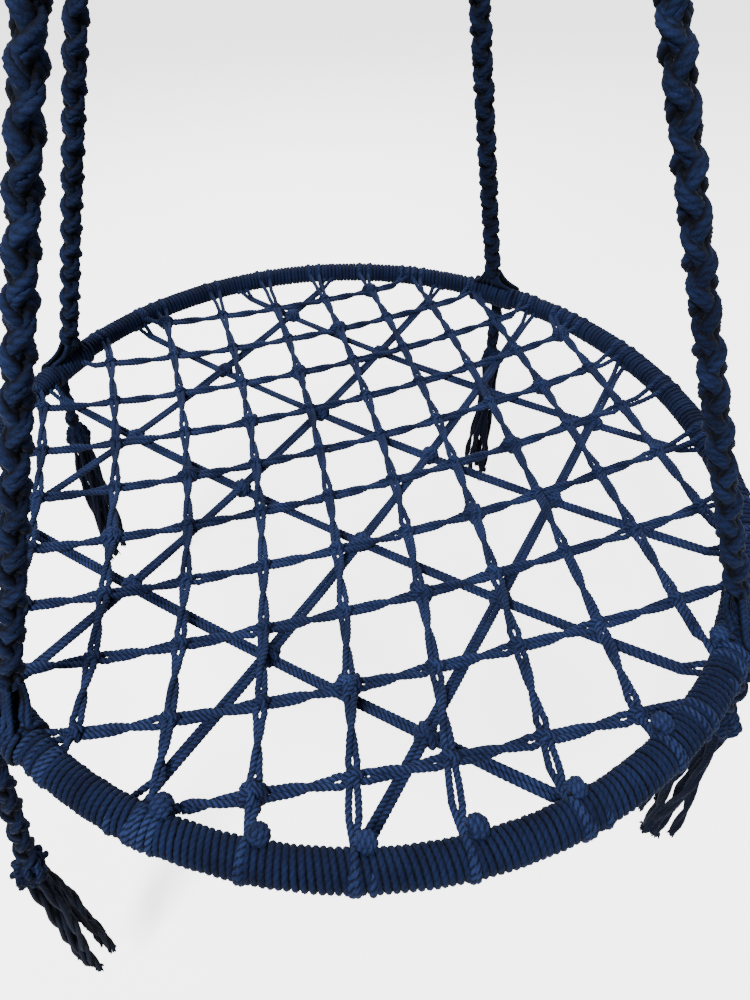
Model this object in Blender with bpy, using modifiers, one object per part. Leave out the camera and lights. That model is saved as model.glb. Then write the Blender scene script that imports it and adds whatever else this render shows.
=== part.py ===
"""Saucer nest swing: a wrapped steel hoop with a knotted cord net, hung on four braided ropes.

Metres, +Z up. The origin is the inside top of the hanging ring, where a hook bears. The hoop is
level below it, and -Y is the front. The whole swing turns about the bottom of the ring's wire, and
each rope's free tail turns about a point on the outer underside of its hitch.
"""

import math

import bpy
from mathutils import Vector

# Hanging ring: its wire bends round a circle in the XZ plane.
RING_RADIUS = 0.036
RING_WIRE_RADIUS = 0.005
RING_CENTRE_Z = RING_WIRE_RADIUS - RING_RADIUS
WIRE_Z = RING_CENTRE_Z - RING_RADIUS

# Two rope loops sit side by side on the ring's wire and run down into the gathering wrap.
LOOP_RADIUS = 0.0065
LOOP_SLACK = 0.0022
LOOP_OFFSET_X = 0.0075
LOOP_BEND_RADIUS = RING_WIRE_RADIUS + LOOP_SLACK + LOOP_RADIUS

# The gathering wrap binds the loops' legs to the four ropes.
GATHER_TOP_Z = WIRE_Z - 0.034
GATHER_HEIGHT = 0.045
GATHER_TOP_RADIUS = 0.0225
GATHER_WAIST_RADIUS = 0.026
GATHER_FOOT_RADIUS = 0.033

# The ropes aim at one point on the axis, a little below the ring.
ROPE_AIM_Z = WIRE_Z - 0.020
ROPE_RADIUS = 0.0130
HANG_HEIGHT = 1.12
ROPE_CAP_RISE = 0.0045

# Hoop: a bent steel tube, its two ends joined on an inner spigot, with a tight cord wrap over it.
HOOP_RADIUS = 0.400
HOOP_Z = ROPE_AIM_Z - HANG_HEIGHT
TUBE_RADIUS = 0.0090
TUBE_WALL = 0.0015
WRAP_RADIUS = 0.0134
HITCH_RADIUS = 0.0180
HOOP_STATIONS = 80
STATION_ANGLE = 360 / HOOP_STATIONS
SEAM_ANGLE = 90.0
SEAM_GAP = 0.001
SPIGOT_RADIUS = 0.0071

# Rope places round the hoop, in degrees from +X, on the hoop's stations.
CORNERS = {"back_right": 45.0, "back_left": 139.5, "front_left": 216.0, "front_right": 315.0}
WRAP_NAMES = ("hoop_wrap_back", "hoop_wrap_left", "hoop_wrap_front", "hoop_wrap_right")

# Each rope's tail leaves its hitch on the outer side, below the hoop's level, at its own place along
# the hitch: a braid, a knot and a tassel of loose strands.
TAIL_RADIUS = 0.0105
TAIL_PLACES = {"back_right": 43.0, "back_left": 141.7, "front_left": 216.0, "front_right": 315.0}
TAIL_LENGTHS = {"back_right": 0.100, "back_left": 0.104, "front_left": 0.178, "front_right": 0.104}
# How far each tail and its knot lean outward from straight down, in degrees.
TAIL_LEANS = {"back_right": 0.0, "back_left": 0.0, "front_left": 7.0, "front_right": 0.0}
TASSEL_TIP_DEPTHS = {"back_right": 0.410, "back_left": 0.415, "front_left": 0.500,
                     "front_right": 0.405}
TAIL_CLEARANCE = 0.0008
TAIL_PIVOT_REACH = HITCH_RADIUS + TAIL_CLEARANCE + TAIL_RADIUS
TAIL_PIVOT_SLOPE = math.radians(35.0)
TAIL_PIVOT_OUT = TAIL_PIVOT_REACH * math.cos(TAIL_PIVOT_SLOPE)
TAIL_PIVOT_DEPTH = TAIL_PIVOT_REACH * math.sin(TAIL_PIVOT_SLOPE)
KNOT_RADIUS = 0.0165
KNOT_HEIGHT = 0.034
TASSEL_NECK_RADIUS = 0.0120
TASSEL_FOOT_RADIUS = 0.0230

# Net: row and column cords on a slightly bowed grid, with four diagonal cords each way below them.
NET_CORDS = 10
MIDDLE = (NET_CORDS - 1) / 2
NET_CORD_RADIUS = 0.0025
NET_LAYER = 0.0054
NET_SAG = 0.0256
NET_LAYERS = {"column": 0.5 * NET_LAYER, "row": -0.5 * NET_LAYER, "rise": -1.5 * NET_LAYER,
              "fall": -2.5 * NET_LAYER}
COLUMN_START = 0.0180
COLUMN_SPACING = 0.0743
COLUMN_LEAN = 0.0048
COLUMN_BOW = -0.00125
COLUMN_DRIFT = -0.0006
ROW_START = 0.0035
ROW_SPACING = 0.0736
ROW_LEAN = 0.0076
ROW_BOW = 0.0005
ROW_DRIFT = -0.00025
ROW_LEAN_CENTRE = 1.0
ROW_LEAN_REACH = 5.0
DIAGONAL_COUNT = 4
DIAGONAL_SPACING = 0.208
DIAGONAL_START = 0.006
RISE_SLOPE = 0.96
RISE_FAN = -0.035
FALL_SLOPE = -0.945
FALL_FAN = -0.060

TOUCH_GAP = 0.0004
WRAP_END_GAP = 0.0008
NET_END_GAP = 0.0008

STEEL = ((0.62, 0.63, 0.65, 1.0), 0.35, 1.0)
ZINC_TUBE = ((0.50, 0.51, 0.53, 1.0), 0.45, 1.0)
NAVY_WRAP = ((0.014, 0.028, 0.072, 1.0), 0.9, 0.0)
NAVY_ROPE = ((0.010, 0.020, 0.055, 1.0), 0.95, 0.0)
NAVY_NET = ((0.018, 0.034, 0.085, 1.0), 0.9, 0.0)
NAVY_TASSEL = ((0.008, 0.014, 0.040, 1.0), 0.95, 0.0)


def clear_scene():
    for obj in list(bpy.data.objects):
        bpy.data.objects.remove(obj, do_unlink=True)


def make_material(name, finish):
    colour, roughness, metallic = finish
    material = bpy.data.materials.new(name)
    material.use_nodes = True
    shader = material.node_tree.nodes["Principled BSDF"]
    shader.inputs["Base Color"].default_value = colour
    shader.inputs["Roughness"].default_value = roughness
    shader.inputs["Metallic"].default_value = metallic
    return material


def add_object(name, data, material, parent):
    obj = bpy.data.objects.new(name, data)
    data.materials.append(material)
    obj.parent = parent
    bpy.data.collections["saucer_nest_swing"].objects.link(obj)
    return obj


def add_empty(name, location, parent, turn=0.0):
    empty = bpy.data.objects.new(name, None)
    empty.location = location
    empty.rotation_euler = (0.0, 0.0, turn)
    empty.parent = parent
    empty.empty_display_size = 0.03
    bpy.data.collections["saucer_nest_swing"].objects.link(empty)
    return empty


def tube_curve(name, points, radius, sides_setting, caps=True):
    """A round tube along straight runs between the points."""
    curve = bpy.data.curves.new(name, "CURVE")
    curve.dimensions = "3D"
    curve.bevel_depth = radius
    curve.bevel_resolution = sides_setting
    curve.use_fill_caps = caps
    spline = curve.splines.new("POLY")
    spline.points.add(len(points) - 1)
    for point, place in zip(spline.points, points):
        point.co = (*place, 1.0)
    return curve


def add_tube(name, points, radius, material, parent, sides_setting=3):
    return add_object(name, tube_curve(name, points, radius, sides_setting), material, parent)


def add_turned(name, profile, material, parent, location=(0.0, 0.0, 0.0), steps=16):
    """A solid turned about Z. The profile runs from its top point down its outer side."""
    mesh = bpy.data.meshes.new(name)
    points = [(radius, 0.0, height) for radius, height in profile]
    mesh.from_pydata(points, [(k, k + 1) for k in range(len(points) - 1)], [])
    obj = add_object(name, mesh, material, parent)
    obj.location = location
    screw = obj.modifiers.new("turn", "SCREW")
    screw.axis = "Z"
    screw.angle = math.tau
    screw.steps = screw.render_steps = steps
    screw.use_merge_vertices = True
    screw.merge_threshold = 0.0001
    return obj


def hoop_point(angle_deg, radius=HOOP_RADIUS):
    angle = math.radians(angle_deg)
    return Vector((radius * math.cos(angle), radius * math.sin(angle), 0.0))


def arc_points(start_deg, end_deg, end_gap):
    """Hoop stations from start to end, with each end drawn back by the gap."""
    draw_back = math.degrees(end_gap / HOOP_RADIUS)
    runs = round((end_deg - start_deg) / STATION_ANGLE)
    middle = [hoop_point(start_deg + k * STATION_ANGLE) for k in range(1, runs)]
    return [hoop_point(start_deg + draw_back), *middle, hoop_point(end_deg - draw_back)]


def add_hollow_arc(name, start_deg, end_deg, radius, wall, material, parent, end_gap):
    """An open-ended tube along part of the hoop, walled inwards from its outer radius."""
    points = arc_points(start_deg, end_deg, end_gap)
    outline = bpy.data.objects.new("outline", tube_curve(name, points, radius, 3, caps=False))
    bpy.data.collections["saucer_nest_swing"].objects.link(outline)
    evaluated = outline.evaluated_get(bpy.context.evaluated_depsgraph_get())
    mesh = bpy.data.meshes.new_from_object(evaluated)
    bpy.data.objects.remove(outline, do_unlink=True)
    obj = add_object(name, mesh, material, parent)
    solidify = obj.modifiers.new("wall", "SOLIDIFY")
    solidify.thickness = wall
    solidify.offset = -1.0
    solidify.use_even_offset = True
    mesh.shade_smooth()
    return obj


def make_hanging_ring(material):
    bpy.ops.mesh.primitive_torus_add(
        major_radius=RING_RADIUS, minor_radius=RING_WIRE_RADIUS,
        major_segments=32, minor_segments=10,
        location=(0.0, 0.0, RING_CENTRE_Z), rotation=(math.pi / 2, 0.0, 0.0))
    ring = bpy.context.active_object
    for collection in list(ring.users_collection):
        collection.objects.unlink(ring)
    bpy.data.collections["saucer_nest_swing"].objects.link(ring)
    ring.name = ring.data.name = "hanging_ring"
    ring.data.materials.append(material)
    ring.data.shade_smooth()


def make_rope_loops(material, pivot):
    """U-shaped saddles over the ring's wire, in the pivot's frame."""
    leg_foot = GATHER_TOP_Z - WIRE_Z + TOUCH_GAP
    bend = [math.pi * k / 8 for k in range(9)]
    for side, name in ((-1, "rope_loop_left"), (1, "rope_loop_right")):
        x = side * LOOP_OFFSET_X
        saddle = [(x, LOOP_BEND_RADIUS * math.cos(a), LOOP_BEND_RADIUS * math.sin(a)) for a in bend]
        points = [(x, LOOP_BEND_RADIUS, leg_foot), *saddle, (x, -LOOP_BEND_RADIUS, leg_foot)]
        add_tube(name, points, LOOP_RADIUS, material, pivot)


def make_gathering_wrap(material, pivot):
    profile = [
        (0.0, 0.0),
        (GATHER_TOP_RADIUS - 0.002, 0.0),
        (GATHER_TOP_RADIUS, -0.002),
        (GATHER_WAIST_RADIUS, -0.5 * GATHER_HEIGHT),
        (GATHER_FOOT_RADIUS, -GATHER_HEIGHT + 0.004),
        (GATHER_FOOT_RADIUS - 0.001, -GATHER_HEIGHT),
        (0.0, -GATHER_HEIGHT),
    ]
    add_turned("gathering_wrap", profile, material, pivot, (0.0, 0.0, GATHER_TOP_Z - WIRE_Z), 24)


def make_ropes(material, pivot):
    """Straight braided ropes from the gathering wrap to the outside of each hitch."""
    aim = Vector((0.0, 0.0, ROPE_AIM_Z - WIRE_Z))
    for corner, angle in CORNERS.items():
        foot = hoop_point(angle) + Vector((0.0, 0.0, HOOP_Z - WIRE_Z))
        along = (foot - aim).normalized()
        top_z = GATHER_TOP_Z - GATHER_HEIGHT - ROPE_CAP_RISE - WIRE_Z
        top = aim + along * ((top_z - aim.z) / along.z)
        low = foot - along * (HITCH_RADIUS + 2 * TOUCH_GAP)
        points = [top.lerp(low, k / 6) for k in range(7)]
        add_tube(f"rope_{corner}", points, ROPE_RADIUS, material, pivot, sides_setting=4)


def make_hoop(materials, hoop):
    add_hollow_arc("hoop_tube", SEAM_ANGLE, SEAM_ANGLE + 360, TUBE_RADIUS, TUBE_WALL,
                   materials["tube"], hoop, SEAM_GAP / 2)
    spigot = arc_points(SEAM_ANGLE - STATION_ANGLE, SEAM_ANGLE + STATION_ANGLE, 0.0)
    add_tube("hoop_joint_spigot", spigot, SPIGOT_RADIUS, materials["tube"], hoop)
    corners = sorted(CORNERS.values())
    wrap_wall = WRAP_RADIUS - TUBE_RADIUS - TOUCH_GAP
    for name, start, end in zip(WRAP_NAMES, corners, [*corners[1:], corners[0] + 360]):
        add_hollow_arc(name, start, end, WRAP_RADIUS, wrap_wall,
                       materials["wrap"], hoop, WRAP_END_GAP)
    for corner, angle in CORNERS.items():
        add_hollow_arc(f"hitch_{corner}", angle - STATION_ANGLE, angle + STATION_ANGLE,
                       HITCH_RADIUS, HITCH_RADIUS - WRAP_RADIUS - TOUCH_GAP,
                       materials["rope"], hoop, 0.0)


def make_tails(materials, hoop):
    """A jointed tail under each hitch. Its round top is centred on the pivot."""
    for corner, angle in TAIL_PLACES.items():
        place = hoop_point(angle, HOOP_RADIUS + TAIL_PIVOT_OUT)
        place.z = -TAIL_PIVOT_DEPTH
        pivot = add_empty(f"tail_pivot_{corner}", place, hoop, math.radians(angle))
        dome = [(TAIL_RADIUS * math.sin(a), TAIL_RADIUS * math.cos(a))
                for a in (math.pi / 2 * k / 4 for k in range(5))]
        lean = math.radians(TAIL_LEANS[corner])
        way = Vector((math.sin(lean), 0.0, -math.cos(lean)))
        foot = -TAIL_LENGTHS[corner]
        profile = [(0.0, dome[0][1]), *dome[1:], (TAIL_RADIUS, foot), (0.0, foot)]
        tail = add_turned(f"tail_{corner}", profile, materials["rope"], pivot)
        tail.rotation_euler.y = -lean
        knot = [(0.0, 0.0), (0.4 * KNOT_RADIUS, 0.0), (0.9 * KNOT_RADIUS, -0.22 * KNOT_HEIGHT),
                (KNOT_RADIUS, -0.5 * KNOT_HEIGHT), (0.85 * KNOT_RADIUS, -0.8 * KNOT_HEIGHT),
                (0.5 * KNOT_RADIUS, -KNOT_HEIGHT), (0.0, -KNOT_HEIGHT)]
        knot_reach = TAIL_LENGTHS[corner] + TOUCH_GAP
        tie = add_turned(f"tail_knot_{corner}", knot, materials["rope"], pivot, way * knot_reach)
        tie.rotation_euler.y = -lean
        tassel_top = way * (knot_reach + KNOT_HEIGHT)
        tassel_top.z -= TOUCH_GAP + 0.5 * KNOT_RADIUS * math.sin(lean)
        fall = TASSEL_TIP_DEPTHS[corner] - TAIL_PIVOT_DEPTH + tassel_top.z
        tassel = [(0.0, 0.0), (TASSEL_NECK_RADIUS, 0.0), (0.75 * TASSEL_FOOT_RADIUS, -0.3 * fall),
                  (0.9 * TASSEL_FOOT_RADIUS, -0.6 * fall), (TASSEL_FOOT_RADIUS, -fall), (0.0, -fall)]
        add_turned(f"tassel_{corner}", tassel, materials["tassel"], pivot, tassel_top)


def grid_place(row, column):
    """Where a row and a column cross, both counted from the net's middle, on the bowed grid."""
    lean = COLUMN_LEAN * (1 - (column / MIDDLE) ** 2)
    x = COLUMN_START + COLUMN_SPACING * column + lean * row
    x += COLUMN_BOW * row ** 2 + COLUMN_DRIFT * column ** 2
    lean = ROW_LEAN * (1 - ((row - ROW_LEAN_CENTRE) / ROW_LEAN_REACH) ** 2)
    y = ROW_START + ROW_SPACING * row + lean * column
    y += ROW_BOW * column ** 2 + ROW_DRIFT * row ** 2
    return x, y


def net_point(x, y, layer):
    depth = NET_SAG * (1 - (x * x + y * y) / HOOP_RADIUS ** 2)
    return Vector((x, y, NET_LAYERS[layer] - depth))


def clear_of_hoop(point):
    """True where a net cord's end is clear of the wrapped hoop and its hitches."""
    angle = math.degrees(math.atan2(point.y, point.x)) % 360
    near_hitch = any(abs((angle - corner + 180) % 360 - 180) < 1.5 * STATION_ANGLE
                     for corner in CORNERS.values())
    solid = HITCH_RADIUS if near_hitch else WRAP_RADIUS
    out = math.hypot(math.hypot(point.x, point.y) - HOOP_RADIUS, point.z)
    inside = math.hypot(point.x, point.y) < HOOP_RADIUS
    return inside and out > solid + NET_CORD_RADIUS + NET_END_GAP


def last_clear(path, near, far):
    """The furthest parameter along a path, from near towards far, that is clear of the hoop."""
    for _ in range(40):
        middle = (near + far) / 2
        if clear_of_hoop(path(middle)):
            near = middle
        else:
            far = middle
    return near


def add_net_cord(name, path, span, runs, material, hoop):
    start = last_clear(path, 0.0, -span)
    end = last_clear(path, 0.0, span)
    points = [path(start + (end - start) * k / runs) for k in range(runs + 1)]
    add_tube(name, points, NET_CORD_RADIUS, material, hoop, sides_setting=2)


def make_net(material, hoop):
    for k in range(NET_CORDS):
        step = MIDDLE - k
        add_net_cord(f"row_cord_{k + 1:02d}",
                     lambda t, row=step: net_point(*grid_place(row, t), "row"),
                     MIDDLE + 1.5, 10, material, hoop)
    for k in range(NET_CORDS):
        step = k - MIDDLE
        add_net_cord(f"column_cord_{k + 1:02d}",
                     lambda t, column=step: net_point(*grid_place(t, column), "column"),
                     MIDDLE + 1.5, 10, material, hoop)
    for k in range(DIAGONAL_COUNT):
        step = (DIAGONAL_COUNT - 1) / 2 - k
        offset = DIAGONAL_START + DIAGONAL_SPACING * step
        for layer, slope in (("rise", RISE_SLOPE + RISE_FAN * step),
                             ("fall", FALL_SLOPE + FALL_FAN * step)):
            middle = -slope * offset / (1 + slope ** 2)
            add_net_cord(f"diagonal_{layer}_{k + 1}",
                         lambda t, m=slope, c=offset, x=middle, side=layer: net_point(
                             x + t, m * (x + t) + c, side),
                         HOOP_RADIUS, 8, material, hoop)


def build():
    clear_scene()
    collection = bpy.data.collections.new("saucer_nest_swing")
    bpy.context.scene.collection.children.link(collection)
    materials = {
        "steel": make_material("ring_steel", STEEL),
        "tube": make_material("tube_steel", ZINC_TUBE),
        "wrap": make_material("wrap_cord", NAVY_WRAP),
        "rope": make_material("rope_braid", NAVY_ROPE),
        "net": make_material("net_cord", NAVY_NET),
        "tassel": make_material("tassel_strands", NAVY_TASSEL),
    }
    make_hanging_ring(materials["steel"])
    pivot = add_empty("swing_pivot", (0.0, 0.0, WIRE_Z), None)
    hoop = add_empty("hoop_centre", (0.0, 0.0, HOOP_Z - WIRE_Z), pivot)
    make_rope_loops(materials["rope"], pivot)
    make_gathering_wrap(materials["rope"], pivot)
    make_ropes(materials["rope"], pivot)
    make_hoop(materials, hoop)
    make_net(materials["net"], hoop)
    make_tails(materials, hoop)


build()
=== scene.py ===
"""Looks of the saucer nest swing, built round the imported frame.

Metres, +Z up, in the CAD's own frame. Nearly everything here is one kind of thing: a three-ply
cotton cord swept along a path. The net, the hoop's wrap, the hitches, the braids, the knots and the
tassels are all made of it.
"""

import math
import random

import bpy
import numpy as np
from mathutils import Matrix, Vector


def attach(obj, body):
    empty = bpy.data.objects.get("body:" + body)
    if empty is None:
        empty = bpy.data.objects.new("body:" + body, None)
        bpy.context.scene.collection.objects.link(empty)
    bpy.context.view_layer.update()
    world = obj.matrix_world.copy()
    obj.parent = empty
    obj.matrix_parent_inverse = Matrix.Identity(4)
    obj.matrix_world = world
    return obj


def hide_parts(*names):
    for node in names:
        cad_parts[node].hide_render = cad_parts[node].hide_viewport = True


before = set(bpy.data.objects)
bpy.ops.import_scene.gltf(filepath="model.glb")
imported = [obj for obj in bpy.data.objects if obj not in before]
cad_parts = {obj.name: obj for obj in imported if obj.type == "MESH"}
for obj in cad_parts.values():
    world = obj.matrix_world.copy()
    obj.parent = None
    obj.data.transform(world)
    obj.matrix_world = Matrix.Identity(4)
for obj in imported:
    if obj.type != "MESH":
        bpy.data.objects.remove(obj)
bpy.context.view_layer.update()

# The frame's driving sizes, as part.py has them.
HOOP_CENTRE = np.array([0.0, 0.0, -1.207])
HOOP_RADIUS = 0.400
WRAP_RADIUS = 0.0134
HITCH_RADIUS = 0.0180
ROPE_AIM_Z = -0.087
ROPE_RADIUS = 0.0130
WIRE_Z = -0.067
RING_CENTRE_Z = -0.031
RING_RADIUS = 0.036
RING_WIRE_RADIUS = 0.005
GATHER_TOP_Z = -0.101
GATHER_HEIGHT = 0.045
CORNERS = {"back_right": 45.0, "back_left": 139.5, "front_left": 216.0, "front_right": 315.0}
WRAP_SPANS = {"hoop_wrap_back": ("back_right", "back_left"),
              "hoop_wrap_left": ("back_left", "front_left"),
              "hoop_wrap_front": ("front_left", "front_right"),
              "hoop_wrap_right": ("front_right", "back_right")}
TAIL_PLACES = {"back_right": 43.0, "back_left": 141.7, "front_left": 216.0, "front_right": 315.0}
TAIL_LENGTHS = {"back_right": 0.100, "back_left": 0.104, "front_left": 0.178, "front_right": 0.104}
TAIL_LEANS = {"back_right": 0.0, "back_left": 0.0, "front_left": 7.0, "front_right": 0.0}
TASSEL_TIP_DEPTHS = {"back_right": 0.410, "back_left": 0.415, "front_left": 0.500,
                     "front_right": 0.405}
TAIL_RADIUS = 0.0105
TAIL_GAP = 0.0008
TAIL_PIVOT_REACH = HITCH_RADIUS + TAIL_GAP + TAIL_RADIUS
TAIL_PIVOT_SLOPE = math.radians(35.0)
KNOT_HEIGHT = 0.034

# Net layout, the same rule as the CAD's cords.
NET_CORDS = 10
MIDDLE = (NET_CORDS - 1) / 2
NET_LAYER = 0.0054
NET_SAG = 0.0256
LAYERS = {"column": 0.5 * NET_LAYER, "row": -0.5 * NET_LAYER, "rise": -1.5 * NET_LAYER,
          "fall": -2.5 * NET_LAYER}
COLUMN_START = 0.0180
COLUMN_SPACING = 0.0743
COLUMN_LEAN = 0.0048
COLUMN_BOW = -0.00125
COLUMN_DRIFT = -0.0006
ROW_START = 0.0035
ROW_SPACING = 0.0736
ROW_LEAN = 0.0076
ROW_BOW = 0.0005
ROW_DRIFT = -0.00025
ROW_LEAN_CENTRE = 1.0
ROW_LEAN_REACH = 5.0
DIAGONAL_STEPS = (1.5, 0.5, -0.5, -1.5)
DIAGONAL_START = 0.006
DIAGONAL_SPACING = 0.208
RISE_SLOPE = 0.96
RISE_FAN = -0.035
FALL_SLOPE = -0.945
FALL_FAN = -0.060

# Cord: three plies with one full twist every CORD_LAY. RING_STEP is the gap between a cord's rings.
CORD_RADIUS = 0.0030
CORD_LAY = 0.0132
RING_STEP = 0.0015
PLY_GROOVE = 0.80
CORD_END = 0.6
# Where cords lie packed, their own grooves get less painted shade and the valleys between them get
# more painted shade.
PACKED_CALM = 0.66
PACKED_EDGE = 0.84
PACKED_FADE = 0.45
PACKED_MOST = 1.6
WRAP_PITCH = 0.0053
WRAP_CORD_RADIUS = 0.0030
WRAP_CORD_CENTRE = 0.0109
UNDER_RADIUS = 0.0098

UP = np.array([0.0, 0.0, 1.0])
ROPE_AIM = np.array([0.0, 0.0, ROPE_AIM_Z])
BODY_SWING = "swing"
rng = random.Random(7)


# ---------------------------------------------------------------- paths and surfaces

SPLINE_STEPS = 12
WOBBLE_RATES = (1.0, 2.3, 4.1, 7.7)
WOBBLE_PEAK = 1.6


def unit(vectors):
    """The same vectors, each one long."""
    return vectors / np.maximum(np.linalg.norm(vectors, axis=-1, keepdims=True), 1e-12)


def lengths_along(points):
    """How far along the line each of its points is."""
    gaps = np.linalg.norm(np.diff(points, axis=0), axis=1)
    return np.concatenate([[0.0], np.cumsum(gaps)])


def respace(points, step):
    """The same line with evenly spaced points about a step apart."""
    along = lengths_along(points)
    count = max(4, round(along[-1] / step) + 1)
    want = np.linspace(0.0, along[-1], count)
    return np.stack([np.interp(want, along, points[:, k]) for k in range(3)], axis=1)


def smooth_path(points, step=RING_STEP):
    """A smooth curve through a few points, evenly spaced."""
    p = np.asarray(points, float)
    p = np.vstack([2 * p[0] - p[1], p, 2 * p[-1] - p[-2]])
    t = np.linspace(0.0, 1.0, SPLINE_STEPS + 1)[:-1, None]
    runs = []
    for a, b, c, d in zip(p, p[1:], p[2:], p[3:]):
        runs.append(0.5 * (2 * b + (c - a) * t + (2 * a - 5 * b + 4 * c - d) * t ** 2
                           + (3 * b - a - 3 * c + d) * t ** 3))
    return respace(np.vstack([*runs, p[-2:-1]]), step)


def cross_axes(path, toward):
    """Two unit vectors across the path at each point, the second near the toward vector."""
    tangent = unit(np.gradient(path, axis=0))
    side = unit(np.cross(toward, tangent))
    return side, np.cross(tangent, side)


def ring_faces(rings, sides, forward=False):
    """Faces of a tube with both ends closed. Each quad starts at the corner from which its
    diagonal is the short one, which depends on the way the tube's rings turn."""
    at = np.arange(rings - 1)[:, None] * sides
    j = np.arange(sides)[None, :]
    k = (j + 1) % sides
    corners = [at + j, at + k, at + sides + k, at + sides + j]
    if forward:
        corners = corners[1:] + corners[:1]
    quads = np.stack(corners, axis=-1).reshape(-1, 4)
    last = (rings - 1) * sides
    caps = [list(range(sides))[::-1], list(range(last, last + sides))]
    return quads.tolist() + caps


def cord_surface(path, toward, radius=CORD_RADIUS, lay=CORD_LAY, plies=3, points=3,
                 groove=PLY_GROOVE, swell=None, packed=0.0):
    """A twisted cord: its plies' grooves run round it once every lay. The third result is each
    point's painted shade, by how deep it lies in a groove, or between packed neighbours."""
    sides = plies * points
    side, up = cross_axes(path, toward)
    along = lengths_along(path)
    ply = np.ones(sides)
    ply[::points] = groove
    angle = math.tau * np.arange(sides)[None, :] / sides + math.tau * along[:, None] / lay
    size = np.full(len(path), radius) if swell is None else radius * swell
    size[0] *= CORD_END
    size[-1] *= CORD_END
    reach = size[:, None] * ply[None, :]
    verts = (path[:, None, :] + (reach * np.cos(angle))[:, :, None] * side[:, None, :]
             + (reach * np.sin(angle))[:, :, None] * up[:, None, :])
    painted_shade = np.zeros((len(path), sides))
    painted_shade[:, ::points] = 1.0
    if packed:
        painted_shade = (1.0 - PACKED_CALM * packed) * painted_shade
        # Painted shade in the valley where packed neighbours meet, on the side away from the toward
        # vector.
        valley = np.clip((PACKED_EDGE - np.sin(angle)) / PACKED_FADE, 0.0, PACKED_MOST)
        painted_shade = np.maximum(painted_shade, packed * valley)
    return verts.reshape(-1, 3), ring_faces(len(path), sides, lay > 0), painted_shade.ravel()


def add_piece(name, surfaces, material, body=BODY_SWING, replaced=()):
    """One mesh object from several closed surfaces, riding on a body."""
    verts = []
    faces = []
    grooves = []
    count = 0
    for points, polygons, painted_shade in surfaces:
        verts.append(points)
        faces.extend([[i + count for i in polygon] for polygon in polygons])
        grooves.append(painted_shade)
        count += len(points)
    mesh = bpy.data.meshes.new(name)
    mesh.from_pydata(np.vstack(verts).tolist(), [], faces)
    # The "groove" attribute holds each point's painted shade.
    mesh.attributes.new("groove", "FLOAT", "POINT").data.foreach_set("value",
                                                                     np.concatenate(grooves))
    mesh.shade_smooth()
    mesh.materials.append(material)
    obj = bpy.data.objects.new(name, mesh)
    bpy.context.scene.collection.objects.link(obj)
    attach(obj, body)
    if replaced:
        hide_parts(*replaced)
    return obj


def wobble(x, seed, reach):
    """Smooth pseudo-random values along x, within about the reach."""
    phases = np.random.default_rng(seed).uniform(0, math.tau, 4)
    waves = sum(np.sin(x * f + p) / (k + 1)
                for k, (f, p) in enumerate(zip(WOBBLE_RATES, phases)))
    return reach * waves / WOBBLE_PEAK


# ---------------------------------------------------------------- materials

DYE_SCALE = 38.0
FIBRE_SCALE = 820.0
DYE_SHARE = 0.55
MOTTLE_SCALE = 160.0
# Colour of the painted shade in grooves and valleys, as a share of the dark dye colour.
GROOVE_PAINTED_SHADE = 0.10


def new_material(name):
    material = bpy.data.materials.new(name)
    material.use_nodes = True
    tree = material.node_tree
    return material, tree.nodes, tree.links, tree.nodes["Principled BSDF"]


def object_noise(nodes, links, scale, detail):
    place = nodes.new("ShaderNodeTexCoord")
    noise = nodes.new("ShaderNodeTexNoise")
    noise.inputs["Scale"].default_value = scale
    noise.inputs["Detail"].default_value = detail
    links.new(place.outputs["Object"], noise.inputs["Vector"])
    return noise


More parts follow.
